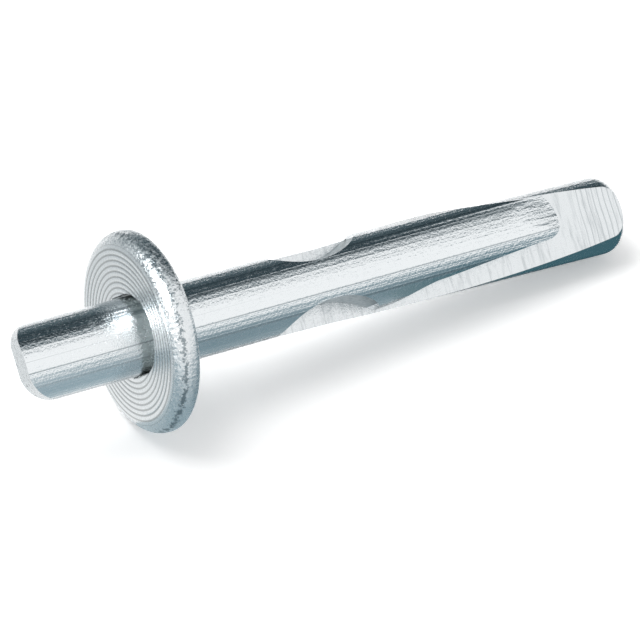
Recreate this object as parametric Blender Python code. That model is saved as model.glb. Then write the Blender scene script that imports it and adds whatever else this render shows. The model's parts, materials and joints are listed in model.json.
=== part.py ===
"""Ceiling anchor: a headed steel body, and the drive pin that lies on its flat.

The anchor is modelled along X: 0 is the struck face of the head, and the tip is at +X.
Z is the normal of the body's flat, on which the pin lies, and Y runs across that flat.
At the end the whole anchor is laid on the ground, on the rim of its head and on its tip.
"""
import math

import bmesh
import bpy
from mathutils import Matrix

# Body: head, round shank, and the tip
HEAD_DIAMETER = 0.0153
HEAD_THICKNESS = 0.0021
HEAD_FRONT_ROUND = 0.0013
HEAD_BACK_ROUND = 0.0007
SHANK_DIAMETER = 0.0059
SHANK_LENGTH = 0.0400
TIP_ROUND = 0.0014

# Body: the flat that carries the pin, and the ramp it ends in.
# Places along the shank are measured from the underside of the head.
FLAT_BELOW_AXIS = 0.00085
RAMP_START = 0.0152
RAMP_ANGLE = math.radians(7.5)

# Pin: the stub that stands out of the head
PIN_DIAMETER = 0.0059
STUB_LENGTH = 0.00985
STUB_END_TILT = math.radians(10)
STUB_UPPER_ROUND = 0.00145
STUB_LOWER_ROUND = 0.0024

# Pin: the waist, pinched in from both sides. Half widths are measured from the pin's axis.
WAIST_PLACE = 0.01385
WAIST_RADIUS = 0.0070
WAIST_UPPER_HALF_WIDTH = 0.00173
WAIST_LOWER_HALF_WIDTH = 0.00141

# Pin: the tongue, which narrows towards the tip
TONGUE_END = 0.0339
UPPER_TAPER_START = 0.0240
UPPER_END_HALF_WIDTH = 0.00195
LOWER_SHOULDER_START = 0.0184
LOWER_SHOULDER_END = 0.0236
LOWER_SHOULDER_HALF_WIDTH = 0.00216
LOWER_END_HALF_WIDTH = 0.00150
TONGUE_ROUND_LENGTH = 0.0014

# Pin: the slight turn on the flat at which it lies, and the place it turns about
PIN_SKEW = math.radians(1.1)
PIN_SKEW_PLACE = 0.0053

# Fit of the two pieces
SEAT_GAP = 0.0003
HOLE_SIDE_CLEARANCE = 0.0003
HOLE_RUN_CLEARANCE = 0.0001
STUB_LEFT_PROUND = 0.0006

# Rest: the turn about the anchor's own axis, from flat side up
REST_ROLL = math.radians(46.5)

# Fineness of the round surfaces, and how far a cutter runs past what it cuts
SEGMENTS = 60
ROUND_STEPS = 6
OUTLINE_STEPS = 16
OVERRUN = 0.0010

# Worked out from the sizes above
HEAD_RADIUS = HEAD_DIAMETER / 2
SHANK_RADIUS = SHANK_DIAMETER / 2
PIN_RADIUS = PIN_DIAMETER / 2
TIP = HEAD_THICKNESS + SHANK_LENGTH
RAMP_FOOT = HEAD_THICKNESS + RAMP_START
PIN_UNDERSIDE = SEAT_GAP - FLAT_BELOW_AXIS
DRIVE_TRAVEL = (STUB_LENGTH - STUB_LEFT_PROUND) / math.cos(RAMP_ANGLE)
DRIVE_LIFT = DRIVE_TRAVEL * math.sin(RAMP_ANGLE)
HOLE_OFFSET = -(HEAD_THICKNESS / 2 + PIN_SKEW_PLACE) * math.tan(PIN_SKEW)


def clear_scene():
    """Removes everything that the file opened with."""
    for thing in list(bpy.data.objects):
        bpy.data.objects.remove(thing)


def steel(name, colour, roughness):
    """Bright zinc-plated steel."""
    material = bpy.data.materials.new(name)
    material.use_nodes = True
    shader = material.node_tree.nodes["Principled BSDF"]
    shader.inputs["Base Color"].default_value = (*colour, 1.0)
    shader.inputs["Metallic"].default_value = 1.0
    shader.inputs["Roughness"].default_value = roughness
    return material


def add_object(name, shape, parent):
    """Turns a bmesh into a named object, its faces pointing outwards."""
    bmesh.ops.recalc_face_normals(shape, faces=shape.faces)
    mesh = bpy.data.meshes.new(name)
    shape.to_mesh(mesh)
    shape.free()
    thing = bpy.data.objects.new(name, mesh)
    bpy.context.scene.collection.objects.link(thing)
    thing.parent = parent
    return thing


def add_frame(name, parent=None):
    """An empty, which carries and turns the pieces under it."""
    frame = bpy.data.objects.new(name, None)
    bpy.context.scene.collection.objects.link(frame)
    frame.parent = parent
    return frame


def arc(centre, radius, start, end, steps):
    """Points of an arc in a plane, from one angle in degrees to another."""
    points = []
    for step in range(steps + 1):
        angle = math.radians(start + (end - start) * step / steps)
        points.append((centre[0] + radius * math.cos(angle), centre[1] + radius * math.sin(angle)))
    return points


def turned(profile):
    """A solid of revolution about X, from (x, radius) points that start and end on the axis."""
    shape = bmesh.new()
    # A facet, not an edge, faces straight down where the anchor rests
    offset = REST_ROLL + math.pi / SEGMENTS
    rings = []
    for x, radius in profile[1:-1]:
        ring = []
        for step in range(SEGMENTS):
            angle = offset + 2 * math.pi * step / SEGMENTS
            ring.append(shape.verts.new((x, radius * math.sin(angle), radius * math.cos(angle))))
        rings.append(ring)
    for low, high in zip(rings, rings[1:]):
        for step in range(SEGMENTS):
            after = (step + 1) % SEGMENTS
            shape.faces.new((low[step], low[after], high[after], high[step]))
    shape.faces.new(rings[0])
    shape.faces.new(rings[-1])
    return shape


def prism(outline, low, high, place):
    """A closed prism: an outline in a plane, drawn out between two heights and put in space by place."""
    shape = bmesh.new()
    bottom = [shape.verts.new(place(u, v, low)) for u, v in outline]
    top = [shape.verts.new(place(u, v, high)) for u, v in outline]
    shape.faces.new(bottom)
    shape.faces.new(top)
    for step in range(len(outline)):
        after = (step + 1) % len(outline)
        shape.faces.new((bottom[step], bottom[after], top[after], top[step]))
    return shape


def along_flat_normal(u, v, height):
    """A plan of the flat, drawn out along the flat's normal."""
    return (u, v, height)


def across_flat(u, v, height):
    """A side view of the anchor, drawn out across the flat."""
    return (u, height, v)


def boolean(target, tool, operation):
    """Cuts the target by the tool, or keeps what they share, and hides the tool."""
    modifier = target.modifiers.new(tool.name, "BOOLEAN")
    modifier.operation = operation
    modifier.solver = "EXACT"
    modifier.object = tool
    tool.hide_render = True
    tool.display_type = "WIRE"


def head_and_shank_profile():
    """Half section of the body before the flat is cut: head, neck, shank and rounded tip."""
    front = arc((HEAD_FRONT_ROUND, HEAD_RADIUS - HEAD_FRONT_ROUND), HEAD_FRONT_ROUND, 180, 90, ROUND_STEPS)
    back_centre = (HEAD_THICKNESS - HEAD_BACK_ROUND, HEAD_RADIUS - HEAD_BACK_ROUND)
    back = arc(back_centre, HEAD_BACK_ROUND, 90, 0, ROUND_STEPS)
    neck = [(HEAD_THICKNESS, SHANK_RADIUS)]
    tip = arc((TIP - TIP_ROUND, SHANK_RADIUS - TIP_ROUND), TIP_ROUND, 90, 0, ROUND_STEPS)
    return [(0, 0)] + front + back + neck + tip + [(TIP, 0)]


def passage():
    """What the pin needs: its way through the head, the flat under it, and the ramp that spreads it.

    The way is a flat floor, two walls and a round roof. The roof stands clear of the pin by the
    lift that the ramp gives it on the way in, and the middle is where the skewed pin crosses the head.
    """
    half_width = PIN_RADIUS + HOLE_SIDE_CLEARANCE
    roof = DRIVE_LIFT + HOLE_RUN_CLEARANCE - HOLE_SIDE_CLEARANCE
    end = TIP + OVERRUN
    floors = (
        (-OVERRUN, -FLAT_BELOW_AXIS),
        (RAMP_FOOT, -FLAT_BELOW_AXIS),
        (end, -FLAT_BELOW_AXIS + (end - RAMP_FOOT) * math.tan(RAMP_ANGLE)),
    )
    top = arc((0, max(roof, floors[-1][1])), half_width, 0, 180, SEGMENTS // 2)
    top_at_head = arc((0, roof), half_width, 0, 180, SEGMENTS // 2)
    shape = bmesh.new()
    sections = []
    for (x, floor), curve in zip(floors, (top_at_head, top_at_head, top)):
        section = [(half_width, floor)] + curve + [(-half_width, floor)]
        sections.append([shape.verts.new((x, y + HOLE_OFFSET, z)) for y, z in section])
    for low, high in zip(sections, sections[1:]):
        for step in range(len(low)):
            after = (step + 1) % len(low)
            shape.faces.new((low[step], low[after], high[after], high[step]))
    shape.faces.new(sections[0])
    shape.faces.new(sections[-1])
    return shape


def make_body(anchor, material):
    """The body: head, shank, flat, ramp and tip, formed in one piece."""
    body = add_object("anchor_body", turned(head_and_shank_profile()), anchor)
    body.data.materials.append(material)
    boolean(body, add_object("pin_passage", passage(), anchor), "DIFFERENCE")
    return body


def smooth_step(share):
    """Rises from 0 to 1 with a level start and end."""
    return share * share * (3 - 2 * share)


def upper_edge(x):
    """Half width of the pin on its upper side, behind the waist."""
    start = HEAD_THICKNESS + UPPER_TAPER_START
    end = HEAD_THICKNESS + TONGUE_END - TONGUE_ROUND_LENGTH
    share = min(max((x - start) / (end - start), 0), 1)
    return PIN_RADIUS + (UPPER_END_HALF_WIDTH - PIN_RADIUS) * share


def lower_edge(x):
    """Half width of the pin on its lower side, behind the waist: a shoulder, then a slow taper."""
    shoulder = HEAD_THICKNESS + LOWER_SHOULDER_START
    neck = HEAD_THICKNESS + LOWER_SHOULDER_END
    end = HEAD_THICKNESS + TONGUE_END - TONGUE_ROUND_LENGTH
    if x < neck:
        share = smooth_step(min(max((x - shoulder) / (neck - shoulder), 0), 1))
        return PIN_RADIUS + (LOWER_SHOULDER_HALF_WIDTH - PIN_RADIUS) * share
    share = min((x - neck) / (end - neck), 1)
    return LOWER_SHOULDER_HALF_WIDTH + (LOWER_END_HALF_WIDTH - LOWER_SHOULDER_HALF_WIDTH) * share


def pin_plan():
    """Outline of the pin seen along the flat's normal, without its waist, lower side first."""
    stub = -STUB_LENGTH
    lower_centre = (stub + STUB_LOWER_ROUND, STUB_LOWER_ROUND - PIN_RADIUS)
    upper_centre = (stub + STUB_UPPER_ROUND, PIN_RADIUS - STUB_UPPER_ROUND)
    outline = arc(upper_centre, STUB_UPPER_ROUND, 90, 180, ROUND_STEPS)
    outline += arc(lower_centre, STUB_LOWER_ROUND, 180, 270, ROUND_STEPS)
    shoulder = HEAD_THICKNESS + LOWER_SHOULDER_START
    end = HEAD_THICKNESS + TONGUE_END - TONGUE_ROUND_LENGTH
    for step in range(OUTLINE_STEPS + 1):
        x = shoulder + (end - shoulder) * step / OUTLINE_STEPS
        outline.append((x, -lower_edge(x)))
    # The rounded end is half an ellipse between the two tapering edges
    middle = (UPPER_END_HALF_WIDTH - LOWER_END_HALF_WIDTH) / 2
    half_width = (UPPER_END_HALF_WIDTH + LOWER_END_HALF_WIDTH) / 2
    for step in range(1, OUTLINE_STEPS):
        angle = math.pi * step / OUTLINE_STEPS
        bulge = TONGUE_ROUND_LENGTH * math.sqrt(math.sin(angle))
        outline.append((end + bulge, middle - half_width * math.cos(angle)))
    outline.append((end, upper_edge(end)))
    outline.append((HEAD_THICKNESS + UPPER_TAPER_START, PIN_RADIUS))
    return outline


def pin_bed():
    """What lies under the pin: the flat and the ramp of the body, with the seat gap over them."""
    # The gap is measured square to the ramp, so the pin's own bend lies a little nearer the head
    foot = RAMP_FOOT - SEAT_GAP * math.tan(RAMP_ANGLE / 2)
    end = HEAD_THICKNESS + TONGUE_END + OVERRUN
    deep = -PIN_DIAMETER
    outline = [
        (-STUB_LENGTH - OVERRUN, deep),
        (end, deep),
        (end, PIN_UNDERSIDE + (end - foot) * math.tan(RAMP_ANGLE)),
        (foot, PIN_UNDERSIDE),
        (-STUB_LENGTH - OVERRUN, PIN_UNDERSIDE),
    ]
    return prism(outline, -PIN_DIAMETER, PIN_DIAMETER, across_flat)


def stub_end_waste():
    """What the sloping cut takes off the stub: its back edge ends short of its front edge."""
    reach = PIN_DIAMETER
    lean = math.tan(STUB_END_TILT)
    outline = [
        (-STUB_LENGTH - reach, reach),
        (-STUB_LENGTH - reach, -reach),
        (-STUB_LENGTH + (PIN_RADIUS + reach) * lean, -reach),
        (-STUB_LENGTH + (PIN_RADIUS - reach) * lean, reach),
    ]
    return prism(outline, -PIN_DIAMETER, PIN_DIAMETER, across_flat)


def waist_pinch(half_width, side):
    """The round pinch on one side of the waist; side is 1 above and -1 below."""
    centre = (HEAD_THICKNESS + WAIST_PLACE, side * (half_width + WAIST_RADIUS))
    outline = arc(centre, WAIST_RADIUS, 0, 360, SEGMENTS)[:-1]
    return prism(outline, -PIN_DIAMETER, PIN_DIAMETER, along_flat_normal)


def make_pin(anchor, material):
    """The drive pin: a wire with a flat underside, drawn as what a plan and a round bar share."""
    seat = add_frame("pin_seat", anchor)
    turn = HEAD_THICKNESS + PIN_SKEW_PLACE
    about = Matrix.Translation((turn, 0, 0))
    seat.matrix_local = about @ Matrix.Rotation(PIN_SKEW, 4, "Z") @ about.inverted()
    bar_ends = ((-STUB_LENGTH - OVERRUN, 0), (HEAD_THICKNESS + TONGUE_END + OVERRUN, 0))
    bar = [bar_ends[0]] + [(x, PIN_RADIUS) for x, _ in bar_ends] + [bar_ends[1]]
    pin = add_object("drive_pin", turned(bar), seat)
    pin.data.materials.append(material)
    plan = prism(pin_plan(), -PIN_DIAMETER, PIN_DIAMETER, along_flat_normal)
    boolean(pin, add_object("pin_plan", plan, seat), "INTERSECT")
    boolean(pin, add_object("pin_bed", pin_bed(), seat), "DIFFERENCE")
    boolean(pin, add_object("stub_end_waste", stub_end_waste(), seat), "DIFFERENCE")
    upper = waist_pinch(WAIST_UPPER_HALF_WIDTH, 1)
    boolean(pin, add_object("waist_upper", upper, seat), "DIFFERENCE")
    lower = waist_pinch(WAIST_LOWER_HALF_WIDTH, -1)
    boolean(pin, add_object("waist_lower", lower, seat), "DIFFERENCE")
    return pin


def rest_pitch():
    """How far the axis dips towards the tip when the head's rim and the tip touch the ground."""
    run = (TIP - TIP_ROUND) - (HEAD_THICKNESS - HEAD_BACK_ROUND)
    drop = (HEAD_RADIUS - HEAD_BACK_ROUND) - (SHANK_RADIUS - TIP_ROUND)
    reach = math.hypot(run, drop)
    return math.atan2(drop, run) + math.asin((HEAD_BACK_ROUND - TIP_ROUND) / reach)


def corners(pieces):
    """Lowest and highest corner of the finished pieces."""
    graph = bpy.context.evaluated_depsgraph_get()
    places = []
    for piece in pieces:
        finished = piece.evaluated_get(graph)
        places += [finished.matrix_world @ vertex.co for vertex in finished.data.vertices]
    low = [min(place[axis] for place in places) for axis in range(3)]
    high = [max(place[axis] for place in places) for axis in range(3)]
    return low, high


def lay_down(anchor, pieces):
    """Lays the anchor on the ground, with the middle of its foot print at the origin."""
    anchor.matrix_local = Matrix.Rotation(rest_pitch(), 4, "Y") @ Matrix.Rotation(REST_ROLL, 4, "X")
    bpy.context.view_layer.update()
    low, high = corners(pieces)
    shift = Matrix.Translation((-(low[0] + high[0]) / 2, -(low[1] + high[1]) / 2, -low[2]))
    anchor.matrix_local = shift @ anchor.matrix_local
    bpy.context.view_layer.update()


def main():
    clear_scene()
    anchor = add_frame("anchor")
    zinc_head = steel("zinc_plated_body", (0.74, 0.76, 0.77), 0.32)
    zinc_pin = steel("zinc_plated_pin", (0.70, 0.74, 0.76), 0.22)
    body = make_body(anchor, zinc_head)
    pin = make_pin(anchor, zinc_pin)
    for piece in (body, pin):
        piece.data.shade_smooth()
        piece.data.set_sharp_from_angle(angle=math.radians(30))
    lay_down(anchor, (body, pin))


main()
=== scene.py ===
import json
import math

import bpy
from mathutils import Matrix, Vector


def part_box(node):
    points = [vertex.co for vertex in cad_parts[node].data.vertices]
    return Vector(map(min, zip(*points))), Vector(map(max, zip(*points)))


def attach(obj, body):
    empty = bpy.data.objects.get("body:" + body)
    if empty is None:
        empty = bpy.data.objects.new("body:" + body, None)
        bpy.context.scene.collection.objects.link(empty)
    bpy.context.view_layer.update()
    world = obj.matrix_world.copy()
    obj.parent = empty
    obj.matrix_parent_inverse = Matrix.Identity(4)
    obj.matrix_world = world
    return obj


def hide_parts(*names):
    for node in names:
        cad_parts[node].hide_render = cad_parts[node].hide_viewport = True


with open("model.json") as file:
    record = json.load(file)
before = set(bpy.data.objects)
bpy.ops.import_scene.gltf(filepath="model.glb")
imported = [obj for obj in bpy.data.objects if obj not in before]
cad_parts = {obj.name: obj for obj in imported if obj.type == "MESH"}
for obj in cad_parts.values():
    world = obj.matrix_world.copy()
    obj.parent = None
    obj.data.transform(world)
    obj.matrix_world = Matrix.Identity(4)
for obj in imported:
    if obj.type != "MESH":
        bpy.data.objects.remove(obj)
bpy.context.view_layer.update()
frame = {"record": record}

bl_info = {
    "name": "Ceiling Anchor",
    "version": (1, 0, 0),
    "blender": (4, 5, 0),
    "location": "3D View > Sidebar > Ceiling Anchor",
    "description": "Models a zinc-plated ceiling anchor and its drive pin, on a white table",
    "category": "Add Mesh",
}

MM = 0.001

# The finished solids as they were loaded: where the anchor lies, and how large its head is
BODY_LOW, BODY_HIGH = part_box("anchor_body")
SHANK_DIRECTION = Vector(frame["record"]["mounts"][0]["axis"])

# How far the cutting tools reach past the steel, so that no two faces coincide
MARGIN = 1.0 * MM
MERGE_DISTANCE = 0.001 * MM

# How far the rim is kept inside the finished solid's
RIM_INSET = 0.012 * MM

# One turned ring, outwards: shares of its pitch, and of its depth
GROOVE_MIDDLE = 0.75
RING_SHAPE = ((0, 0), (0.5, 0), (0.68, 0.8), (GROOVE_MIDDLE, 1), (0.82, 0.8))

# Edges that turn by more than this stay sharp
SMOOTH_ANGLE = math.radians(28)


# Small tools for modelling by operator

def select_only(thing):
    """Makes one object the only one that the next operator works on."""
    bpy.ops.object.select_all(action="DESELECT")
    thing.select_set(True)
    bpy.context.view_layer.objects.active = thing


def draw_line(name, points):
    """A line in edit mode: a plane's corners are merged to one point, which is then drawn on."""
    bpy.ops.object.select_all(action="DESELECT")
    bpy.ops.mesh.primitive_plane_add(size=MM)
    line = bpy.context.object
    line.name = name
    bpy.ops.object.mode_set(mode="EDIT")
    bpy.ops.mesh.select_mode(type="VERT")
    bpy.ops.mesh.merge(type="CENTER")
    bpy.ops.transform.translate(value=points[0])
    for before, after in zip(points, points[1:]):
        step = Vector(after) - Vector(before)
        bpy.ops.mesh.extrude_vertices_move(TRANSFORM_OT_translate={"value": step})
    return line


def turn(name, profile, steps):
    """A solid turned about X, from (x, radius) points that start and end on the axis."""
    piece = draw_line(name, [(x, 0, radius) for x, radius in profile])
    bpy.ops.mesh.select_all(action="SELECT")
    bpy.ops.mesh.spin(steps=steps, angle=2 * math.pi, center=(0, 0, 0), axis=(1, 0, 0))
    bpy.ops.mesh.select_all(action="SELECT")
    bpy.ops.mesh.remove_doubles(threshold=MERGE_DISTANCE)
    bpy.ops.mesh.normals_make_consistent(inside=False)
    bpy.ops.object.mode_set(mode="OBJECT")
    return piece


def extrude_outline(name, points, way):
    """A block: a closed outline that is filled, and then extruded along way."""
    block = draw_line(name, points)
    bpy.ops.mesh.select_all(action="SELECT")
    bpy.ops.mesh.edge_face_add()
    bpy.ops.mesh.extrude_region_move(TRANSFORM_OT_translate={"value": way})
    bpy.ops.mesh.select_all(action="SELECT")
    bpy.ops.mesh.normals_make_consistent(inside=False)
    bpy.ops.object.mode_set(mode="OBJECT")
    return block


def cut(piece, tool, operation="DIFFERENCE"):
    """Cuts the piece by the tool, or keeps what they share, and throws the tool away."""
    select_only(piece)
    bpy.ops.object.modifier_add(type="BOOLEAN")
    modifier = piece.modifiers[-1]
    modifier.operation = operation
    modifier.solver = "EXACT"
    modifier.object = tool
    bpy.ops.object.modifier_apply(modifier=modifier.name)
    select_only(tool)
    bpy.ops.object.delete()


def arc(centre, radius, start, end, steps):
    """Points of an arc in a plane, from one angle in degrees to another."""
    points = []
    for step in range(steps + 1):
        angle = math.radians(start + (end - start) * step / steps)
        points.append((centre[0] + radius * math.cos(angle), centre[1] + radius * math.sin(angle)))
    return points


def select_faces(piece, wanted):
    """Enters edit mode with only the faces selected whose middle and normal are wanted."""
    select_only(piece)
    bpy.ops.object.mode_set(mode="EDIT")
    bpy.ops.mesh.select_mode(type="FACE")
    bpy.ops.mesh.select_all(action="DESELECT")
    bpy.ops.object.mode_set(mode="OBJECT")
    for face in piece.data.polygons:
        face.select = wanted(face.center, face.normal)
    bpy.ops.object.mode_set(mode="EDIT")


def paint(piece, materials):
    """Gives a piece its first material, and each later one the faces that its test wants."""
    for number, (material, wanted) in enumerate(materials):
        piece.data.materials.append(material)
        if wanted:
            select_faces(piece, wanted)
            piece.active_material_index = number
            bpy.ops.object.material_slot_assign()
            bpy.ops.object.mode_set(mode="OBJECT")


def smooth(piece):
    """Shades round surfaces smooth, and keeps the flats flat up to their edges."""
    select_only(piece)
    bpy.ops.object.shade_smooth_by_angle(angle=SMOOTH_ANGLE)
    bpy.ops.object.modifier_add(type="WEIGHTED_NORMAL")
    modifier = piece.modifiers[-1]
    modifier.keep_sharp = True
    bpy.ops.object.modifier_apply(modifier=modifier.name)


# How the anchor lies: the dip of its axis, and its turn about that axis

def resting_turn(sizes):
    """Turns a piece from the anchor's own frame, shank along X, to how it lies on the table."""
    dip = math.asin(-SHANK_DIRECTION.z)
    return Matrix.Rotation(dip, 4, "Y") @ Matrix.Rotation(sizes.rest_roll, 4, "X")


def resting_shift(piece):
    """What moves the turned body to where the finished solid lies: by its head, and on the table."""
    corners = [piece.matrix_world @ vertex.co for vertex in piece.data.vertices]
    low_x = min(corner.x for corner in corners)
    low_z = min(corner.z for corner in corners)
    return Vector((BODY_LOW.x - low_x, 0, BODY_LOW.z - low_z))


def lay(piece, place):
    """Puts a piece where it lies, with its place in its mesh."""
    select_only(piece)
    piece.matrix_world = place
    bpy.ops.object.transform_apply(location=True, rotation=True, scale=True)


# Sizes of the body

def steel_floor(sizes):
    """Side view of the steel under the pin: the flat, then the ramp."""
    foot = sizes.head_thickness + sizes.ramp_start
    end = sizes.head_thickness + sizes.shank_length + MARGIN
    rise = (end - foot) * math.tan(sizes.ramp_angle)
    flat = -sizes.flat_below_axis
    return [(-MARGIN, flat), (foot, flat), (end, flat + rise)]


def drive_lift(sizes):
    """How far the ramp lifts the pin when it is driven home."""
    return (sizes.stub_length - sizes.stub_left_proud) * math.tan(sizes.ramp_angle)


def head_face(sizes):
    """Profile of the struck face from its middle outwards, with the rings that the turning left."""
    points = [(0, 0)]
    first = sizes.ring_field - sizes.ring_pitch * sizes.ring_count
    for ring in range(sizes.ring_count):
        for share, depth in RING_SHAPE:
            points.append((depth * sizes.ring_depth, first + (ring + share) * sizes.ring_pitch))
    points.append((0, sizes.ring_field))
    return points


def body_profile(sizes):
    """Half section of the body before the flat is cut."""
    radius = (BODY_HIGH.y - BODY_LOW.y) / 2 - RIM_INSET
    shank = sizes.shank_diameter / 2
    front = sizes.head_front_round
    back = sizes.head_back_round
    tip = sizes.head_thickness + sizes.shank_length
    points = head_face(sizes)
    points += arc((front, radius - front), front, 180, 90, steps=20)
    points += arc((sizes.head_thickness - back, radius - back), back, 90, 0, steps=12)
    neck = sizes.neck_round
    points += arc((sizes.head_thickness + neck, shank + neck), neck, 180, 270, steps=8)
    end = sizes.tip_round
    points += arc((tip - end, shank - end), end, 90, 0, steps=14)
    return points + [(tip, 0)]


def passage(sizes):
    """What the pin passes through: an arch through the head, over the flat and the ramp."""
    half_width = sizes.pin_diameter / 2 + sizes.hole_side_clearance
    middle = drive_lift(sizes) + sizes.hole_run_clearance - sizes.hole_side_clearance
    end = sizes.head_thickness + sizes.shank_length + 2 * MARGIN
    offset = -(sizes.head_thickness / 2 + sizes.pin_skew_place) * math.tan(sizes.pin_skew)
    outline = [(half_width, -half_width)]
    outline += arc((0, middle), half_width, 0, 180, steps=72)
    outline.append((-half_width, -half_width))
    section = [(-2 * MARGIN, y + offset, z) for y, z in outline]
    arch = extrude_outline("arch", section, (end + 2 * MARGIN, 0, 0))
    flat, foot, ramp = steel_floor(sizes)
    ramp_end = ramp[1] + 2 * MARGIN * math.tan(sizes.ramp_angle)
    below = [(-3 * MARGIN, flat[1]), foot, (end + MARGIN, ramp_end)]
    deep = -2 * half_width
    side = below + [(end + MARGIN, deep), (-3 * MARGIN, deep)]
    steel = extrude_outline("steel", [(x, deep, z) for x, z in side], (0, -2 * deep, 0))
    cut(arch, steel)
    return arch


def model_body(sizes):
    """The body: turned head and shank, with the way of the pin cut through it."""
    body = turn("zinc_plated_body", body_profile(sizes), sizes.body_facets)
    cut(body, passage(sizes))
    return body


# Sizes of the pin

def smooth_step(share):
    """Rises from 0 to 1 with a level start and end."""
    share = min(max(share, 0), 1)
    return share * share * (3 - 2 * share)


def stub_plan(sizes):
    """Outline of the stub seen along its sheared end, whose corners are rounded."""
    radius = sizes.pin_diameter / 2
    stub = -sizes.stub_length
    upper = (stub + sizes.stub_upper_round, radius - sizes.stub_upper_round)
    lower = (stub + sizes.stub_lower_round, sizes.stub_lower_round - radius)
    outline = arc(upper, sizes.stub_upper_round, 90, 180, steps=24)
    outline += arc(lower, sizes.stub_lower_round, 180, 270, steps=32)
    end = sizes.head_thickness + sizes.tongue_end + 3 * MARGIN
    wide = radius + MARGIN
    return [(end, wide), (upper[0], wide)] + outline + [(lower[0], -wide), (end, -wide)]


def pin_plan(sizes):
    """Outline of the pin seen along the flat's normal, without its waist."""
    radius = sizes.pin_diameter / 2
    stub = -sizes.stub_length - MARGIN
    head = sizes.head_thickness
    end = head + sizes.tongue_end - sizes.tongue_round
    shoulder = head + sizes.lower_shoulder_start
    neck = head + sizes.lower_shoulder_end
    taper = head + sizes.upper_taper_start
    outline = [(stub, radius), (stub, -radius)]
    steps = 48
    for step in range(steps + 1):
        x = shoulder + (end - shoulder) * step / steps
        if x < neck:
            share = smooth_step((x - shoulder) / (neck - shoulder))
            half = radius + (sizes.lower_shoulder_half_width - radius) * share
        else:
            share = (x - neck) / (end - neck)
            half = sizes.lower_shoulder_half_width
            half += (sizes.lower_end_half_width - sizes.lower_shoulder_half_width) * share
        outline.append((x, -half))
    middle = (sizes.upper_end_half_width - sizes.lower_end_half_width) / 2
    half = (sizes.upper_end_half_width + sizes.lower_end_half_width) / 2
    for step in range(1, steps):
        angle = math.pi * step / steps
        x = end + sizes.tongue_round * math.sqrt(math.sin(angle))
        outline.append((x, middle - half * math.cos(angle)))
    outline.append((end, sizes.upper_end_half_width))
    outline.append((taper, radius))
    return outline


def pin_bed(sizes):
    """Side view of what lies under the pin, from which its flat underside and its bend follow."""
    floor = [(x, z + sizes.seat_gap) for x, z in steel_floor(sizes)]
    start = -sizes.stub_length - MARGIN
    deep = -sizes.pin_diameter
    return [(start, floor[0][1])] + floor[1:] + [(floor[-1][0], deep), (start, deep)]


def model_pin(sizes):
    """The pin: drawn wire, pressed flat below, pinched at the waist, its tongue cut to shape."""
    radius = sizes.pin_diameter / 2
    start = -sizes.stub_length - MARGIN
    end = sizes.head_thickness + sizes.tongue_end + MARGIN
    wide = sizes.pin_diameter
    wire = [(start, 0), (start, radius), (end, radius), (end, 0)]
    pin = turn("zinc_plated_pin", wire, sizes.pin_facets)
    tilt = math.tan(sizes.stub_end_tilt)
    low = (wide + radius) * tilt
    points = [(x + low, y, -wide) for x, y in stub_plan(sizes)]
    plan = extrude_outline("plan", points, (-2 * wide * tilt, 0, 2 * wide))
    cut(pin, plan, "INTERSECT")
    plan = extrude_outline("plan", [(x, y, -wide) for x, y in pin_plan(sizes)], (0, 0, 2 * wide))
    cut(pin, plan, "INTERSECT")
    bed = extrude_outline("bed", [(x, -wide, z) for x, z in pin_bed(sizes)], (0, 2 * wide, 0))
    cut(pin, bed)
    waist = sizes.head_thickness + sizes.waist_place
    for side, half in ((1, sizes.waist_upper_half_width), (-1, sizes.waist_lower_half_width)):
        middle = (waist, side * (half + sizes.waist_radius))
        circle = arc(middle, sizes.waist_radius, 0, 360, steps=180)[:-1]
        lean = side * wide * math.tan(sizes.waist_lean)
        points = [(x, y + lean, -wide) for x, y in circle]
        pinch = extrude_outline("pinch", points, (0, -2 * lean, 2 * wide))
        cut(pin, pinch)
    cut(pin, tongue_scar(sizes))
    return pin


def tongue_scar(sizes):
    """What the press scraped off the tongue's upper side, deeper towards its end."""
    start = sizes.head_thickness + sizes.scar_start
    end = sizes.head_thickness + sizes.tongue_end + MARGIN
    radius = sizes.pin_diameter / 2
    side = [(start, radius), (end, radius - sizes.scar_depth), (end, 2 * radius), (start, 2 * radius)]
    block = extrude_outline("scar", [(x, -2 * radius, z) for x, z in side], (0, 4 * radius, 0))
    lay(block, Matrix.Rotation(-sizes.scar_turn, 4, "X"))
    return block


def pin_turn(sizes):
    """The slight turn on the flat at which the pin lies."""
    about = Matrix.Translation((sizes.head_thickness + sizes.pin_skew_place, 0, 0))
    return about @ Matrix.Rotation(sizes.pin_skew, 4, "Z") @ about.inverted()


# Colours and materials

# Grains: how often each repeats per millimetre along the anchor's X, Y and Z, and its depth. A pixel of
# the picture is about 0.08 mm, so what is finer on the real steel is drawn coarse enough to show.

# The die's scratches run along drawn wire, really a few hundredths of a millimetre apart
DIE_LINES = ((0.005, 3.4, 3.4), 0.045 * MM)
DIE_SCRATCHES = (0.002, 2.3, 2.3)
# Crystals of the zinc, really a few micrometres across, and the patches in which they are dull
CRYSTALS = ((5.2, 5.2, 5.2), 0.036 * MM)
CRYSTAL_PATCHES = (3.8, 5.2, 5.2)
# Dents about 0.3 mm across, which upsetting the head left on its rim, and the spots in the darker line
# round it
DENTS = ((3.4, 3.4, 3.4), 0.08 * MM)
RIM_LINE_SPOTS = (2.4, 2.4, 2.4)
# The cutter's furrows across the flat, its streaks, and the unevenness of its coarse marks
FURROWS = ((3.6, 0.12, 0.12), 0.014 * MM)
STREAKS = (3.2, 0.36, 0.36)
MARK_WOBBLE = (0.06, 0.26, 0.26)
# Fine grit of the plate on turned, milled and punched steel
GRIT = ((7.0, 7.0, 7.0), 0.015 * MM)
# Ridges that the pinching tool drew down the sides of the waist
RIDGES = ((2.6, 2.6, 0.15), 0.03 * MM)

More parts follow.
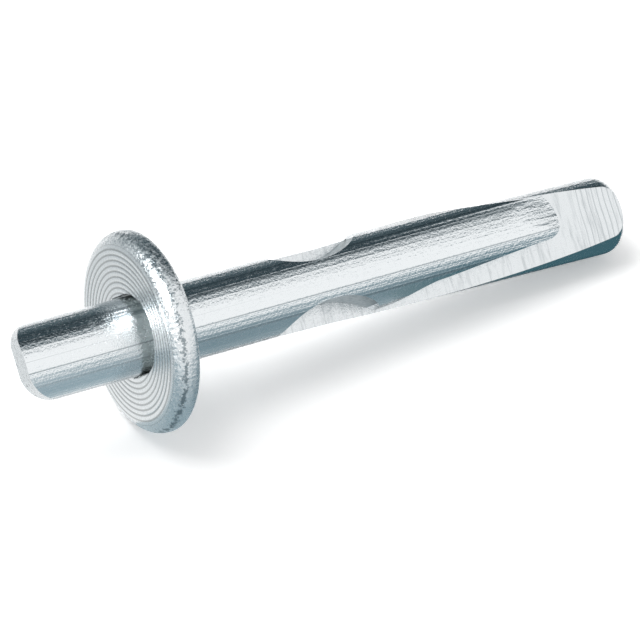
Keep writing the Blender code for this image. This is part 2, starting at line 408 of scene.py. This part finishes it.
# Gloss of each finish: the roughness of its brightest and of its dullest patches
WIRE_GLOSS = (0.12, 0.32)
RIM_GLOSS = (0.22, 0.5)
FACE_GLOSS = (0.26, 0.4)
HOLE_GLOSS = (0.4, 0.5)
FLAT_GLOSS = (0.2, 0.34)
WAIST_GLOSS = (0.3, 0.5)


def linear(code):
    """An sRGB hex colour as Blender's linear values."""
    shares = [int(code[place:place + 2], 16) / 255 for place in (1, 3, 5)]
    return (*[
        share / 12.92 if share <= 0.04045 else ((share + 0.055) / 1.055) ** 2.4 for share in shares
    ], 1.0)


def add_node(tree, kind, links=None, **settings):
    """Adds a node with its settings, and its inputs as values or as other nodes' outputs."""
    made = tree.nodes.new(kind)
    for name, value in settings.items():
        setattr(made, name, value)
    for name, value in (links or {}).items():
        if isinstance(name, int):
            socket = made.inputs[name]
        else:
            socket = next(each for each in made.inputs if each.enabled and each.name == name)
        if isinstance(value, bpy.types.NodeSocket):
            tree.links.new(value, socket)
        else:
            socket.default_value = value
    return made


def new_material(name):
    """An empty node material, and its tree."""
    material = bpy.data.materials.new(name)
    material.use_nodes = True
    material.node_tree.nodes.clear()
    return material, material.node_tree


def own_frame(tree, place):
    """Object coordinates turned back to the anchor's own frame."""
    back = place.inverted()
    return add_node(tree, "ShaderNodeMapping", {
        "Vector": add_node(tree, "ShaderNodeTexCoord").outputs["Object"],
        "Location": back.to_translation(),
        "Rotation": back.to_euler(),
    }).outputs["Vector"]


def repeating(tree, place, per_mm):
    """The anchor's own frame, for a pattern that repeats so often per millimetre along each axis."""
    return add_node(tree, "ShaderNodeMapping", {
        "Vector": own_frame(tree, place), "Scale": [repeats / MM for repeats in per_mm],
    }).outputs["Vector"]


def along_shank(tree, place):
    """The distance from the struck face along the shank."""
    return add_node(tree, "ShaderNodeSeparateXYZ", {0: own_frame(tree, place)}).outputs["X"]


def grained(tree, place, grains):
    """A normal roughened by grains, one upon the other."""
    normal = None
    for per_mm, depth in grains:
        height = add_node(tree, "ShaderNodeTexNoise", {
            "Vector": repeating(tree, place, per_mm), "Scale": 1.0, "Detail": 2.0, "Roughness": 0.6,
        }).outputs["Fac"]
        links = {"Height": height, "Strength": 1.0, "Distance": depth}
        if normal:
            links["Normal"] = normal
        normal = add_node(tree, "ShaderNodeBump", links).outputs["Normal"]
    return normal


def uneven_gloss(tree, place, bright, dull):
    """Roughness that jumps between bright and dull from one patch of crystals to the next."""
    spots = add_node(tree, "ShaderNodeTexNoise", {
        "Vector": repeating(tree, place, CRYSTAL_PATCHES), "Scale": 1.0, "Detail": 2.0, "Roughness": 0.7,
    }).outputs["Fac"]
    return add_node(tree, "ShaderNodeMapRange", {
        "Value": spots, "From Min": 0.47, "From Max": 0.62, "To Min": bright, "To Max": dull,
    }).outputs[0]


def plated_steel(name, place, colour, gloss, grains, dull_and_shade_colour=None, dull_and_shade_where=None):
    """Bright zinc plate over steel, with the grain that the work left, darker where its mask says: dull
    marks, and painted shade in the turned grooves.
    """
    material, tree = new_material(name)
    seen = linear(colour)
    if dull_and_shade_where:
        seen = add_node(tree, "ShaderNodeMix", {
            "Factor": dull_and_shade_where(tree), "A": linear(colour), "B": linear(dull_and_shade_colour),
        }, data_type="RGBA").outputs["Result"]
    shader = add_node(tree, "ShaderNodeBsdfPrincipled", {
        "Base Color": seen, "Metallic": 1.0,
        "Roughness": uneven_gloss(tree, place, *gloss),
        "Normal": grained(tree, place, grains),
    })
    add_node(tree, "ShaderNodeOutputMaterial", {"Surface": shader.outputs["BSDF"]})
    return material


def shade_in_grooves(tree, place, sizes):
    """How much painted shade the turned face gets: most at the bottoms of its grooves."""
    per_mm = (0, MM / sizes.ring_pitch, MM / sizes.ring_pitch)
    radius = add_node(tree, "ShaderNodeVectorMath", {0: repeating(tree, place, per_mm)},
                      operation="LENGTH").outputs["Value"]
    first = sizes.ring_field / sizes.ring_pitch - sizes.ring_count
    count = add_node(tree, "ShaderNodeMath", {0: radius, 1: first}, operation="SUBTRACT").outputs[0]
    share = add_node(tree, "ShaderNodeMath", {0: count}, operation="FRACT").outputs[0]
    off = add_node(tree, "ShaderNodeMath", {0: share, 1: GROOVE_MIDDLE}, operation="SUBTRACT").outputs[0]
    off = add_node(tree, "ShaderNodeMath", {0: off}, operation="ABSOLUTE").outputs[0]
    return add_node(tree, "ShaderNodeMapRange", {
        "Value": off, "From Min": 0.08, "From Max": 0.26, "To Min": 1.0, "To Max": 0.0,
    }).outputs[0]


def in_scratches(tree, place):
    """How dull drawn wire is: most in the scratches along it."""
    lines = add_node(tree, "ShaderNodeTexNoise", {
        "Vector": repeating(tree, place, DIE_SCRATCHES), "Scale": 1.0, "Detail": 2.0, "Roughness": 0.8,
    }).outputs["Fac"]
    return add_node(tree, "ShaderNodeMapRange", {
        "Value": lines, "From Min": 0.57, "From Max": 0.7, "To Min": 0.0, "To Max": 0.85,
    }).outputs[0]


def at_rim_line(tree, place, sizes):
    """How dark the rim is: most along a ragged line round it."""
    off = add_node(tree, "ShaderNodeMath", {0: along_shank(tree, place), 1: sizes.rim_line},
                   operation="SUBTRACT").outputs[0]
    off = add_node(tree, "ShaderNodeMath", {0: off}, operation="ABSOLUTE").outputs[0]
    spots = add_node(tree, "ShaderNodeTexNoise", {
        "Vector": repeating(tree, place, RIM_LINE_SPOTS), "Scale": 1.0, "Detail": 3.0, "Roughness": 0.8,
    }).outputs["Fac"]
    near = add_node(tree, "ShaderNodeMapRange", {
        "Value": off, "From Min": 0.05 * MM, "From Max": 0.45 * MM, "To Min": 0.18, "To Max": -0.08,
    }).outputs[0]
    share = add_node(tree, "ShaderNodeMath", {0: spots, 1: near}, operation="ADD").outputs[0]
    return add_node(tree, "ShaderNodeMapRange", {
        "Value": share, "From Min": 0.6, "From Max": 0.7, "To Min": 0.0, "To Max": 0.85,
    }).outputs[0]


def in_cutter_marks(tree, place, sizes):
    """How dull the milled flat is: fine streaks across it, and coarse marks near the ramp's end."""
    along = along_shank(tree, place)
    wobble = add_node(tree, "ShaderNodeTexNoise", {
        "Vector": repeating(tree, place, MARK_WOBBLE), "Scale": 1.0, "Detail": 1.0,
    }).outputs["Fac"]
    count = add_node(tree, "ShaderNodeMath", {0: along, 1: 1 / sizes.mark_pitch, 2: wobble},
                     operation="MULTIPLY_ADD").outputs[0]
    share = add_node(tree, "ShaderNodeMath", {0: count}, operation="FRACT").outputs[0]
    line = add_node(tree, "ShaderNodeMapRange", {
        "Value": share, "From Min": 0.0, "From Max": 0.3, "To Min": 0.7, "To Max": 0.0,
    }).outputs[0]
    zone = add_node(tree, "ShaderNodeMapRange", {
        "Value": along, "From Min": sizes.mark_start, "From Max": sizes.mark_start + 1.0 * MM,
    }).outputs[0]
    marks = add_node(tree, "ShaderNodeMath", {0: line, 1: zone}, operation="MULTIPLY").outputs[0]
    streaks = add_node(tree, "ShaderNodeTexNoise", {
        "Vector": repeating(tree, place, STREAKS), "Scale": 1.0, "Detail": 2.0, "Roughness": 0.7,
    }).outputs["Fac"]
    streaks = add_node(tree, "ShaderNodeMapRange", {
        "Value": streaks, "From Min": 0.5, "From Max": 0.72, "To Min": 0.0, "To Max": 0.4,
    }).outputs[0]
    return add_node(tree, "ShaderNodeMath", {0: marks, 1: streaks}, operation="MAXIMUM").outputs[0]


# Which faces get which finish. A test gets a face's middle and normal, in the anchor's own frame. The
# lengths bound the middle, and the plain numbers one part of the unit normal, or a share of the radius.

RIM_BEHIND = 0.05 * MM
FACE_DEPTH = 0.1 * MM
FACE_NORMAL = -0.8
HOLE_REACH = 5.0 * MM
WALL_NORMAL = 0.3
HOLE_FLOOR_NORMAL = 0.9
FLAT_SLACK = 0.01 * MM
FLAT_NORMAL = 0.985
WAIST_REACH = 5.0 * MM
WAIST_INSIDE = 0.9
PINCHED_NORMAL = 0.2


def body_finishes(sizes, finish, place):
    """The body's materials, each with the test for its faces. A later one lies over an earlier one."""
    steel = finish.body_colour_code
    floor = -sizes.flat_below_axis

    def on_head(middle, normal):
        return middle.x < sizes.head_thickness + RIM_BEHIND

    def on_face(middle, normal):
        return middle.x < FACE_DEPTH and normal.x < FACE_NORMAL

    def in_hole(middle, normal):
        inside = FACE_DEPTH < middle.x < sizes.head_thickness - FACE_DEPTH
        near = math.hypot(middle.y, middle.z) < HOLE_REACH
        return inside and near and abs(normal.x) < WALL_NORMAL and normal.z < HOLE_FLOOR_NORMAL

    def on_flat(middle, normal):
        level = floor - FLAT_SLACK < middle.z < sizes.shank_diameter / 2
        return level and normal.z > FLAT_NORMAL

    # Cold-drawn shank: scratched along by the die, so what it mirrors is drawn out into streaks
    shank = plated_steel(
        "zinc_plated_cold_drawn_shank", place, steel, WIRE_GLOSS, (DIE_LINES, CRYSTALS),
        finish.line_colour_code, lambda tree: in_scratches(tree, place))
    # Upset rim: dented where the steel flowed into the die, so it glitters, with a darker line round it
    rim = plated_steel(
        "zinc_plated_upset_rim", place, steel, RIM_GLOSS, (DENTS,),
        finish.line_colour_code, lambda tree: at_rim_line(tree, place, sizes))
    # Turned face: satin, with painted shade at the bottom of the groove at each turn of the tool
    face = plated_steel(
        "zinc_plated_turned_face", place, steel, FACE_GLOSS, (GRIT,),
        finish.groove_shade_colour_code, lambda tree: shade_in_grooves(tree, place, sizes))
    # Punched hole: a matt wall, its colour a little darker than the face as painted shade in the hole
    hole = plated_steel(
        "zinc_plated_punched_hole", place, finish.hole_shade_colour_code, HOLE_GLOSS, (GRIT,))
    # Milled flat and ramp: satin, with furrows and streaks across, and coarse marks near the ramp's end
    flat = plated_steel(
        "zinc_plated_milled_flat", place, steel, FLAT_GLOSS, (FURROWS, GRIT),
        finish.mark_colour_code, lambda tree: in_cutter_marks(tree, place, sizes))
    return (shank, None), (rim, on_head), (face, on_face), (hole, in_hole), (flat, on_flat)


def pin_finishes(sizes, finish, place):
    """The pin's materials, each with the test for its faces."""
    waist = sizes.head_thickness + sizes.waist_place

    def in_waist(middle, normal):
        near = abs(middle.x - waist) < WAIST_REACH
        inside = abs(middle.y) < WAIST_INSIDE * sizes.pin_diameter / 2
        return near and inside and abs(normal.z) < PINCHED_NORMAL

    # Drawn wire: bright, and scratched along by the die, so what it mirrors is drawn out into streaks
    wire = plated_steel(
        "zinc_plated_drawn_wire", place, finish.pin_colour_code, (finish.pin_roughness, WIRE_GLOSS[1]),
        (DIE_LINES, CRYSTALS), finish.line_colour_code, lambda tree: in_scratches(tree, place))
    # Pinched waist: dull and ridged, where the tool squeezed the wire, its colour darker as painted shade
    # on the pinched sides
    pinched = plated_steel(
        "zinc_plated_pinched_waist", place, finish.waist_shade_colour_code, WAIST_GLOSS, (RIDGES, GRIT))
    return (wire, None), (pinched, in_waist)


# Settings that a user can change

def length(name, description, default):
    """A length property, in metres."""
    return bpy.props.FloatProperty(
        name=name, description=description, default=default, min=0, unit="LENGTH", precision=5)


def angle(name, description, degrees):
    """An angle property."""
    return bpy.props.FloatProperty(
        name=name, description=description, default=math.radians(degrees), subtype="ANGLE")


class AnchorSizes(bpy.types.PropertyGroup):
    """Sizes of the anchor in its own frame, with X from the struck face to the tip, and Z off the flat."""

    head_thickness: length("Head thickness", "From the struck face to the underside", 2.1 * MM)
    head_front_round: length("Head front round", "Round of the rim on the struck side", 1.3 * MM)
    head_back_round: length("Head back round", "Round of the rim on the underside", 0.7 * MM)
    neck_round: length("Neck round", "Round between the underside and the shank", 0.12 * MM)
    ring_field: length("Ring field", "Radius to which the struck face is turned", 6.15 * MM)
    ring_pitch: length("Ring pitch", "Distance between turned rings", 0.41 * MM)
    ring_depth: length("Ring depth", "Depth of a turned ring", 0.035 * MM)
    ring_count: bpy.props.IntProperty(name="Rings", description="Turned rings on the face", default=12)
    shank_diameter: length("Shank diameter", "Round of the shank", 5.9 * MM)
    shank_length: length("Shank length", "From the underside of the head to the tip", 39.8 * MM)
    tip_round: length("Tip round", "Round of the shank's end", 1.4 * MM)
    flat_below_axis: length("Flat below axis", "Depth of the flat under the shank's axis", 0.85 * MM)
    ramp_start: length("Ramp start", "From the underside of the head to the ramp", 15.2 * MM)
    ramp_angle: angle("Ramp angle", "Slope of the ramp that spreads the pin", 7.5)
    pin_diameter: length("Pin diameter", "Round of the drawn wire", 5.9 * MM)
    stub_length: length("Stub length", "How far the pin stands out of the head", 9.82 * MM)
    stub_left_proud: length(
        "Stub left proud", "What is left of the stub when it is driven home", 0.6 * MM)
    stub_end_tilt: angle("Stub end tilt", "Slope of the cut that ends the stub", 14)
    stub_upper_round: length("Stub upper round", "Round of the stub's end, upper side", 1.45 * MM)
    stub_lower_round: length("Stub lower round", "Round of the stub's end, lower side", 2.4 * MM)
    waist_place: length("Waist place", "From the underside of the head to the waist", 13.85 * MM)
    waist_radius: length("Waist radius", "Radius of the pinching tool", 7.0 * MM)
    waist_upper_half_width: length(
        "Waist upper half width", "From the axis to the upper pinch", 1.73 * MM)
    waist_lower_half_width: length(
        "Waist lower half width", "From the axis to the lower pinch", 1.41 * MM)
    waist_lean: angle("Waist lean", "Slope of the pinched sides", 1.2)
    scar_start: length("Scar start", "From the underside of the head to the scraped facet", 29.2 * MM)
    scar_depth: length("Scar depth", "Depth of the scraped facet at the pin's end", 0.6 * MM)
    scar_turn: angle("Scar turn", "Turn of the scraped facet about the pin, from the flat's normal", 15)
    tongue_end: length("Tongue end", "From the underside of the head to the pin's end", 33.9 * MM)
    tongue_round: length("Tongue round", "Length of the round end of the tongue", 2.0 * MM)
    upper_taper_start: length("Upper taper start", "Where the upper side starts to narrow", 24.0 * MM)
    upper_end_half_width: length(
        "Upper end half width", "From the axis to the upper side at the end", 1.95 * MM)
    lower_shoulder_start: length("Lower shoulder start", "Where the lower side steps in", 18.4 * MM)
    lower_shoulder_end: length("Lower shoulder end", "Where the step ends", 23.6 * MM)
    lower_shoulder_half_width: length(
        "Lower shoulder half width", "Half width behind the step", 2.16 * MM)
    lower_end_half_width: length(
        "Lower end half width", "From the axis to the lower side at the end", 1.5 * MM)
    pin_skew: angle("Pin skew", "Turn of the pin on the flat", 1.1)
    pin_skew_place: length("Pin skew place", "Where the pin turns on the flat", 5.3 * MM)
    seat_gap: length("Seat gap", "Gap between the pin and the steel under it", 0.04 * MM)
    hole_side_clearance: length("Hole side clearance", "Play of the pin in the head", 0.12 * MM)
    hole_run_clearance: length(
        "Hole run clearance", "Play above the pin when it is driven home", 0.1 * MM)
    rim_line: length("Rim line", "From the struck face to the dull line round the rim", 0.72 * MM)
    mark_start: length(
        "Mark start", "From the struck face to the coarse marks on the ramp", 37.6 * MM)
    mark_pitch: length("Mark pitch", "Distance between the coarse marks", 0.42 * MM)
    rest_roll: angle("Rest roll", "Turn about the shank at which the anchor lies", 46.5)
    body_facets: bpy.props.IntProperty(
        name="Body facets", description="Facets round the body", default=288)
    pin_facets: bpy.props.IntProperty(
        name="Pin facets", description="Facets round the pin", default=288)


class AnchorFinish(bpy.types.PropertyGroup):
    """Colours and gloss of the plated steel."""

    pin_colour_code: bpy.props.StringProperty(
        name="Pin colour", description="Zinc plate on the drawn pin, as sRGB hex", default="#EEF2F4")
    pin_roughness: bpy.props.FloatProperty(
        name="Pin roughness", description="Roughness of the pin's brightest patches",
        default=WIRE_GLOSS[0], min=0, max=1, subtype="FACTOR")
    body_colour_code: bpy.props.StringProperty(
        name="Body colour", description="Zinc plate on the body, as sRGB hex", default="#E6EAEC")
    # The groove colour is painted shade at the bottoms of the turned grooves
    groove_shade_colour_code: bpy.props.StringProperty(
        name="Groove colour", description="Dull plate in the turned grooves, as sRGB hex",
        default="#B2B6B7")
    mark_colour_code: bpy.props.StringProperty(
        name="Mark colour", description="Dull plate in the cutter's marks, as sRGB hex",
        default="#9DA5A9")
    line_colour_code: bpy.props.StringProperty(
        name="Line colour", description="Dull plate in scratches, as sRGB hex", default="#77848A")
    # The waist colour is darker than the pin's as painted shade on the pinched sides
    waist_shade_colour_code: bpy.props.StringProperty(
        name="Waist colour", description="Plate on the pinched sides, as sRGB hex", default="#A2ACB0")
    # The hole colour is a little darker than the body's as painted shade in the hole
    hole_shade_colour_code: bpy.props.StringProperty(
        name="Hole colour", description="Plate in the hole of the head, as sRGB hex", default="#DDE3E2")


class ANCHOR_OT_body(bpy.types.Operator):
    """Models the plated body: head, shank, flat and ramp"""

    bl_idname = "anchor.body"
    bl_label = "Body"

    def execute(self, context):
        sizes = context.scene.anchor_sizes
        finish = context.scene.anchor_finish
        body = model_body(sizes)
        turned = resting_turn(sizes)
        body.matrix_world = turned
        place = Matrix.Translation(resting_shift(body)) @ turned
        context.scene.anchor_place = [value for row in place for value in row]
        paint(body, body_finishes(sizes, finish, place))
        smooth(body)
        lay(body, place)
        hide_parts("anchor_body")
        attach(body, "body")
        return {"FINISHED"}


class ANCHOR_OT_pin(bpy.types.Operator):
    """Models the drive pin: stub, waist and tongue"""

    bl_idname = "anchor.pin"
    bl_label = "Drive pin"

    def execute(self, context):
        sizes = context.scene.anchor_sizes
        finish = context.scene.anchor_finish
        values = context.scene.anchor_place
        place = Matrix([values[row * 4:row * 4 + 4] for row in range(4)]) @ pin_turn(sizes)
        pin = model_pin(sizes)
        paint(pin, pin_finishes(sizes, finish, place))
        smooth(pin)
        lay(pin, place)
        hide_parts("drive_pin")
        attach(pin, "pin")
        return {"FINISHED"}


# Stage

# The camera: lens and sensor in the camera's own millimetres, places in metres from the frame's origin
CAMERA_AZIMUTH = math.radians(-29.7)
CAMERA_ELEVATION = math.radians(39.6)
CAMERA_DISTANCE = 0.50
CAMERA_AIM = (0.05 * MM, 1.99 * MM)
CAMERA_LENS = 375.6
CAMERA_SENSOR = 36.0
CAMERA_CLIP = (0.01, 10.0)

# The table, how much it adds for the camera alone, and the surround's light on all that isn't mirrored
TABLE_SIZE = 3.0
TABLE_GLOW = 0.24
SURROUND_LIGHT = 0.55

# The softbox, above and behind, lights the table and throws the shadow. The small lamp, to the left,
# only makes the highlights on the steel.
SOFTBOX_PLACE = (-0.17, 0.17, 0.46)
SOFTBOX_SIZE = 0.42
SOFTBOX_POWER = 2.1
HIGHLIGHT_PLACE = (-0.38, 0.05, 0.33)
HIGHLIGHT_SIZE = 0.2
HIGHLIGHT_POWER = 2.0

# The glowing cards' colours, as places along an axis and sRGB hex; they paint what the steel mirrors. Two
# flags are on an arc over and behind the anchor, and three cards lie on the table: before it, under its
# tip and to its left.
FLAG_RADIUS = 0.5
FLAG_ARC = (84, 179)
FLAG_SPLIT = 0.06
FLAG_REACH = 2.0
BLACK_UP = (
    (0.0, "#6A7A80"), (0.2, "#4E5D63"), (0.35, "#38464C"), (0.47, "#364248"), (0.495, "#566267"),
    (0.5, "#A0A9AD"),
)
GREY_UP = ((0.0, "#8E979B"), (0.4, "#99A2A6"), (0.5, "#C4CBCE"))
BLUE_TOWARDS = (
    (-0.3, "#FFFFFF"), (-0.06, "#F0F3F5"), (-0.026, "#C2CDD2"), (-0.012, "#9DAEB6"), (-0.007, "#93A8B1"),
    (-0.0015, "#BCC8CD"),
)
BLUE_ALONG = (
    (-0.03, "#FFFFFF"), (-0.013, "#FFFFFF"), (-0.009, "#D2D8DA"), (0.01, "#D2D8DA"), (0.02, "#BAC6CA"),
    (0.1, "#BAC6CA"),
)
# The card under the tip paints the reflection of the table's shadow there
TIP_SHADOW_ALONG = ((0.007, "#74898F"), (0.014, "#446771"), (0.067, "#446771"))
LEFT_ALONG = ((-0.3, "#B9BFC2"), (-0.033, "#C2C7CA"), (-0.026, "#E4E7E8"), (-0.02, "#FFFFFF"))


def add_camera():
    """The camera at the photograph's angle, half a metre away with a long lens."""
    look = Vector((
        -math.sin(CAMERA_AZIMUTH) * math.cos(CAMERA_ELEVATION),
        math.cos(CAMERA_AZIMUTH) * math.cos(CAMERA_ELEVATION),
        -math.sin(CAMERA_ELEVATION),
    ))
    right = Vector((math.cos(CAMERA_AZIMUTH), math.sin(CAMERA_AZIMUTH), 0))
    up = right.cross(look)
    bpy.ops.object.camera_add()
    camera = bpy.context.object
    camera.location = right * CAMERA_AIM[0] + up * CAMERA_AIM[1] - look * CAMERA_DISTANCE
    camera.rotation_mode = "QUATERNION"
    camera.rotation_quaternion = look.to_track_quat("-Z", "Y")
    camera.data.lens = CAMERA_LENS
    camera.data.sensor_width = CAMERA_SENSOR
    camera.data.clip_start, camera.data.clip_end = CAMERA_CLIP
    bpy.context.scene.camera = camera


def add_floor():
    """A plain white table, which the camera sees a little brighter, so that its shadows stay pale."""
    bpy.ops.object.select_all(action="DESELECT")
    bpy.ops.mesh.primitive_plane_add(size=TABLE_SIZE)
    floor = bpy.context.object
    floor.name = "white_table"
    material, tree = new_material("white_table")
    lit = add_node(tree, "ShaderNodeBsdfDiffuse", {"Color": linear("#FFFFFF")}).outputs[0]
    seen = add_node(tree, "ShaderNodeLightPath").outputs["Is Camera Ray"]
    seen = add_node(tree, "ShaderNodeMath", {0: seen, 1: TABLE_GLOW}, operation="MULTIPLY").outputs[0]
    glow = add_node(tree, "ShaderNodeEmission", {"Color": linear("#FFFFFF"), "Strength": seen}).outputs[0]
    both = add_node(tree, "ShaderNodeAddShader", {0: lit, 1: glow}).outputs[0]
    add_node(tree, "ShaderNodeOutputMaterial", {"Surface": both})
    floor.data.materials.append(material)


def add_world():
    """An even white surround, which the camera and the plated steel both see as white."""
    world = bpy.data.worlds.new("white_surround")
    bpy.context.scene.world = world
    world.use_nodes = True
    tree = world.node_tree
    tree.nodes.clear()
    path = add_node(tree, "ShaderNodeLightPath")
    seen = path.outputs["Is Camera Ray"]
    for ray in ("Is Glossy Ray", "Is Transmission Ray"):
        either = {0: seen, 1: path.outputs[ray]}
        seen = add_node(tree, "ShaderNodeMath", either, operation="MAXIMUM").outputs[0]
    plain = add_node(tree, "ShaderNodeBackground", {
        "Color": linear("#FFFFFF"), "Strength": SURROUND_LIGHT,
    })
    white = add_node(tree, "ShaderNodeBackground", {"Color": linear("#FFFFFF"), "Strength": 1.0})
    mix = add_node(tree, "ShaderNodeMixShader", {0: seen, 1: plain.outputs[0], 2: white.outputs[0]})
    add_node(tree, "ShaderNodeOutputWorld", {"Surface": mix.outputs[0]})


def ramp_colour(tree, ramp, axis):
    """A colour that follows a ramp of (place, sRGB hex) pairs along one axis."""
    seat = add_node(tree, "ShaderNodeTexCoord").outputs["Object"]
    place = add_node(tree, "ShaderNodeSeparateXYZ", {0: seat}).outputs[axis]
    low, high = ramp[0][0], ramp[-1][0]
    share = add_node(tree, "ShaderNodeMapRange", {
        "Value": place, "From Min": low, "From Max": high,
    }).outputs[0]
    colours = add_node(tree, "ShaderNodeValToRGB", {"Fac": share})
    stops = colours.color_ramp.elements
    for at, code in ramp[1:-1]:
        stops.new((at - low) / (high - low)).color = linear(code)
    stops[0].color = linear(ramp[0][1])
    stops[len(ramp) - 1].color = linear(ramp[-1][1])
    return colours.outputs["Color"]


def as_card(card, *ramps):
    """Makes a surface a glowing card, seen only in reflections, where it paints a reflection. Its ramps of
    colour are multiplied.
    """
    card.visible_camera = False
    card.visible_diffuse = False
    card.visible_shadow = False
    material, tree = new_material(card.name)
    colour = ramp_colour(tree, *ramps[0])
    for ramp in ramps[1:]:
        colour = add_node(tree, "ShaderNodeMix", {
            "Factor": 1.0, "A": colour, "B": ramp_colour(tree, *ramp),
        }, data_type="RGBA", blend_type="MULTIPLY").outputs["Result"]
    # The card glows with its colour though it is no lamp: a painted reflection
    shader = add_node(tree, "ShaderNodeEmission", {"Color": colour})
    add_node(tree, "ShaderNodeOutputMaterial", {"Surface": shader.outputs[0]})
    card.data.materials.append(material)


def add_card(name, points, reach, *ramps):
    """A card for the reflections: a line of points, drawn out along X."""
    card = draw_line(name, points)
    bpy.ops.mesh.select_all(action="SELECT")
    bpy.ops.mesh.extrude_region_move(TRANSFORM_OT_translate={"value": (reach, 0, 0)})
    bpy.ops.object.mode_set(mode="OBJECT")
    as_card(card, *ramps)


def add_cards():
    """The glowing cards round the anchor, which paint the dark, white and blue-grey reflections in its
    steel.
    """
    back = [(-y, z) for y, z in arc((0, 0), FLAG_RADIUS, *FLAG_ARC, steps=30)]
    add_card("black_flag", [(FLAG_SPLIT, y, z) for y, z in back], FLAG_REACH, (BLACK_UP, "Z"))
    add_card("grey_flag", [(-FLAG_REACH, y, z) for y, z in back], FLAG_REACH + FLAG_SPLIT, (GREY_UP, "Z"))
    for name, start, reach, near, far, height, *ramps in (
        ("blue_card", -0.5, 1.0, -1.0, -0.0015, 0.2 * MM, (BLUE_TOWARDS, "Y"), (BLUE_ALONG, "X")),
        # The card under the tip paints the reflection of the table's shadow there
        ("teal_card", 0.007, 0.06, -0.009, -0.0015, 0.3 * MM, (TIP_SHADOW_ALONG, "X")),
        ("left_card", -1.0, 0.983, -0.1, 0.9, 0.1 * MM, (LEFT_ALONG, "X")),
    ):
        add_card(name, [(start, near, height), (start, far, height)], reach, *ramps)


def add_lamp(name, place, size, power, lights):
    """A square lamp that faces the anchor, for the light on the table or the highlights on the steel."""
    bpy.ops.object.light_add(type="AREA")
    lamp = bpy.context.object
    lamp.name = name
    lamp.location = place
    lamp.rotation_mode = "QUATERNION"
    lamp.rotation_quaternion = (-Vector(place)).to_track_quat("-Z", "Y")
    lamp.data.size = size
    lamp.data.energy = power
    lamp.visible_glossy = lights == "highlights"
    lamp.visible_diffuse = lights == "table"


class ANCHOR_OT_stage(bpy.types.Operator):
    """Sets up the table, the lights and the camera"""

    bl_idname = "anchor.stage"
    bl_label = "Stage"

    def execute(self, context):
        add_camera()
        add_floor()
        add_world()
        add_cards()
        add_lamp("softbox", SOFTBOX_PLACE, SOFTBOX_SIZE, SOFTBOX_POWER, "table")
        add_lamp("highlight", HIGHLIGHT_PLACE, HIGHLIGHT_SIZE, HIGHLIGHT_POWER, "highlights")
        context.scene.view_settings.view_transform = "Standard"
        return {"FINISHED"}


class ANCHOR_PT_panel(bpy.types.Panel):
    """Lists the anchor's pieces and its stage"""

    bl_idname = "ANCHOR_PT_panel"
    bl_label = "Ceiling Anchor"
    bl_space_type = "VIEW_3D"
    bl_region_type = "UI"
    bl_category = "Ceiling Anchor"

    def draw(self, context):
        for operator in OPERATORS:
            self.layout.operator(operator.bl_idname)
        for group in (context.scene.anchor_sizes, context.scene.anchor_finish):
            column = self.layout.column()
            for name in group.bl_rna.properties.keys():
                if name not in ("rna_type", "name"):
                    column.prop(group, name)


OPERATORS = (ANCHOR_OT_body, ANCHOR_OT_pin, ANCHOR_OT_stage)
CLASSES = (AnchorSizes, AnchorFinish, *OPERATORS, ANCHOR_PT_panel)


def register():
    for each in CLASSES:
        bpy.utils.register_class(each)
    bpy.types.Scene.anchor_sizes = bpy.props.PointerProperty(type=AnchorSizes)
    bpy.types.Scene.anchor_finish = bpy.props.PointerProperty(type=AnchorFinish)
    bpy.types.Scene.anchor_place = bpy.props.FloatVectorProperty(size=16)


def unregister():
    del bpy.types.Scene.anchor_place
    del bpy.types.Scene.anchor_finish
    del bpy.types.Scene.anchor_sizes
    for each in reversed(CLASSES):
        bpy.utils.unregister_class(each)


def main():
    register()
    bpy.ops.anchor.body()
    bpy.ops.anchor.pin()
    bpy.ops.anchor.stage()


if __name__ == "__main__":
    main()
